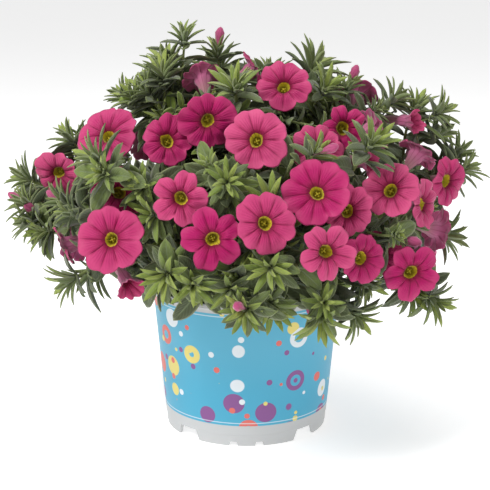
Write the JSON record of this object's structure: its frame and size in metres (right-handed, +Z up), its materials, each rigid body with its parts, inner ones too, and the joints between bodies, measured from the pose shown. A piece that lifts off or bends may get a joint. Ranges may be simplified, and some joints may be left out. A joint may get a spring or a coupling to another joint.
{
  "type": "potted calibrachoa",
  "caption": "Bushy flowering plant with trumpet-shaped pink blooms and narrow leaves in a tapered round nursery pot with a printed band.",
  "frame": {"origin": "centre of the pot's foot on the ground, which is also the middle of the plant's spread", "axes": "+Z up along the pot's axis, -Y towards the viewer of the picture, +X to that viewer's right"},
  "size_m": [0.2679, 0.2378, 0.2191],
  "materials": {
    "pot": "satin",
    "soil": "matte",
    "leaf": "matte",
    "petal": "matte"
  },
  "bodies": {
    "root": {"pot": "pot", "soil": "soil", "stem_01": "leaf", "stem_02": "leaf", "stem_03": "leaf", "stem_04": "leaf", "stem_05": "leaf", "stem_06": "leaf", "stem_07": "leaf", "stem_08": "leaf", "stem_09": "leaf", "stem_10": "leaf", "stem_11": "leaf", "stem_12": "leaf", "stem_13": "leaf", "stem_14": "leaf", "bloom_01": "petal", "bloom_02": "petal", "bloom_03": "petal", "bloom_04": "petal", "bloom_05": "petal", "bloom_06": "petal", "bloom_07": "petal", "bloom_08": "petal", "bloom_09": "petal", "bloom_10": "petal", "bloom_11": "petal", "bloom_12": "petal", "bloom_13": "petal", "bloom_14": "petal", "bloom_15": "petal", "bloom_16": "petal", "bloom_17": "petal", "bloom_18": "petal", "bloom_19": "petal", "bloom_20": "petal", "bloom_21": "petal", "bloom_22": "petal", "bloom_23": "petal", "bloom_24": "petal", "bloom_25": "petal", "bloom_26": "petal", "bloom_27": "petal", "bloom_28": "petal", "bloom_29": "petal", "bloom_30": "petal", "bloom_31": "petal", "bloom_32": "petal", "bloom_33": "petal", "bloom_34": "petal", "bloom_35": "petal", "bloom_36": "petal", "bloom_37": "petal", "bloom_38": "petal", "bloom_39": "petal", "bloom_40": "petal", "bloom_41": "petal", "bloom_42": "petal", "bloom_43": "petal", "bloom_44": "petal"}
  },
  "joints": []
}
